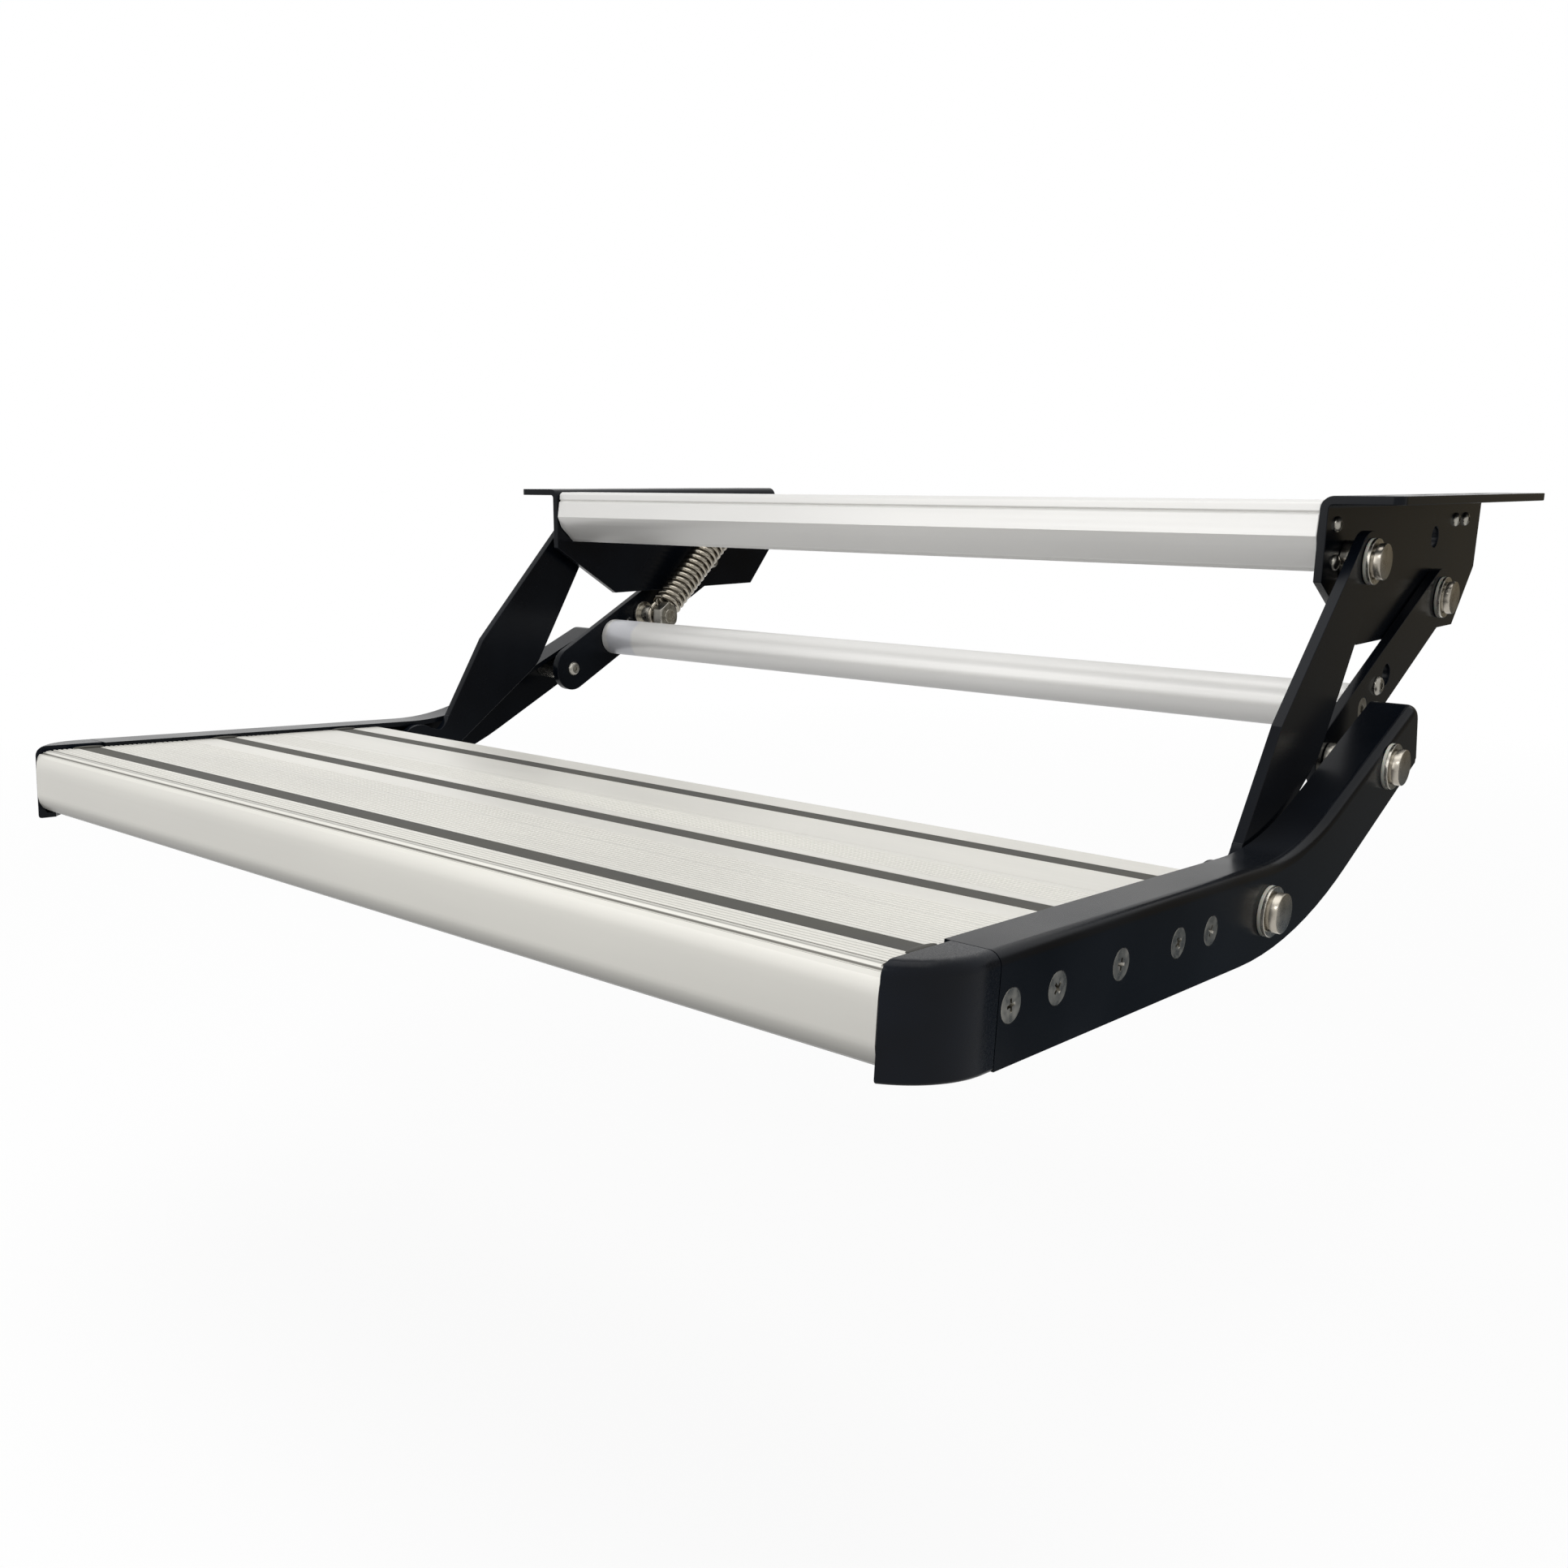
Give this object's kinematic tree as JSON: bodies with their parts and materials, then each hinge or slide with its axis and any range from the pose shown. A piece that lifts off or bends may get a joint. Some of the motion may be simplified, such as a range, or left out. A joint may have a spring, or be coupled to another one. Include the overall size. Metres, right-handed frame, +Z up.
{
  "type": "fold-away entry step",
  "caption": "Folding step for a camper door: ribbed aluminium tread carried by bent side links from two top brackets.",
  "frame": {"origin": "middle of the four mounting bolts, in the plane of the bracket tops", "axes": "+Z up, +X to the right along the tread, -Y to the front, where the foot comes from"},
  "size_m": [0.6064, 0.5963, 0.1844],
  "materials": {
    "black_steel": "gloss powder coat",
    "black_cap": "moulded, soft gloss",
    "plank_aluminium": "clear anodised, ribbed",
    "beam_aluminium": "clear anodised",
    "tube_aluminium": "satin",
    "stainless": "turned",
    "screw_steel": "dull",
    "spring_steel": "drawn wire",
    "slip_plastic": "natural nylon",
    "plug_plastic": "moulded",
    "grip_rubber": "matt"
  },
  "bodies": {
    "mount": {"left_bracket": "black_steel", "right_bracket": "black_steel", "front_beam": "beam_aluminium", "beam_screws": "screw_steel", "rear_crossbar": "beam_aluminium", "crossbar_screws": "screw_steel", "front_top_pins": "stainless", "front_top_spacers": "stainless", "front_top_slip_washers": "slip_plastic", "front_top_washers": "stainless", "rear_top_pins": "stainless", "rear_top_slip_washers": "slip_plastic", "rear_top_washers": "stainless", "top_pin_screws": "screw_steel", "spring_anchor": "stainless"},
    "front_links": {"left_front_link": "black_steel", "right_front_link": "black_steel"},
    "tread": {"nose_plank": "plank_aluminium", "middle_plank": "plank_aluminium", "rear_plank": "plank_aluminium", "nose_strip": "grip_rubber", "middle_strip": "grip_rubber", "rear_strip": "grip_rubber", "left_rail": "black_steel", "right_rail": "black_steel", "left_corner_cap": "black_cap", "right_corner_cap": "black_cap", "rail_screws": "screw_steel", "front_tread_pins": "stainless", "front_tread_spacers": "stainless", "front_tread_screws": "screw_steel", "rear_tread_pins": "stainless", "rear_tread_spacers": "stainless", "tread_slip_washers": "slip_plastic", "tread_washers": "stainless"},
    "rear_links": {"left_rear_link": "black_steel", "right_rear_link": "black_steel", "cross_tube": "tube_aluminium", "tube_plugs": "plug_plastic", "tube_screws": "screw_steel", "rear_pin_ends": "stainless", "rear_pin_screws": "screw_steel", "post_bolt": "stainless", "post_sleeve": "stainless", "post_nut": "screw_steel", "spare_screw": "screw_steel", "spare_nut": "screw_steel"},
    "spring": {"return_spring": "spring_steel"}
  },
  "joints": [
    {"name": "front_link_hinge", "type": "hinge", "parent": "mount", "child": "front_links", "pos_m": [0, -0.088, -0.03], "axis": [1, 0, 0], "range_deg": [0, 95.63]},
    {"name": "tread_hinge", "type": "hinge", "parent": "front_links", "child": "tread", "pos_m": [0, -0.23162, -0.16536], "axis": [1, 0, 0], "range_deg": [-92.2, 0]},
    {"name": "rear_link_hinge", "type": "hinge", "parent": "mount", "child": "rear_links", "pos_m": [0, 0.042, -0.054], "axis": [1, 0, 0], "range_deg": [0, 133.6]},
    {"name": "spring_swing", "type": "hinge", "parent": "mount", "child": "spring", "pos_m": [0, 0.04053, -0.02253], "axis": [1, 0, 0], "range_deg": [0, 98.9], "deforming": ["return_spring"]}
  ],
  "couplings": [
    {"joint": "tread_hinge", "follows": "front_link_hinge", "ratio": -0.96402},
    {"joint": "rear_link_hinge", "follows": "front_link_hinge", "ratio": 1.396},
    {"joint": "spring_swing", "follows": "front_link_hinge", "ratio": 1.0331}
  ]
}
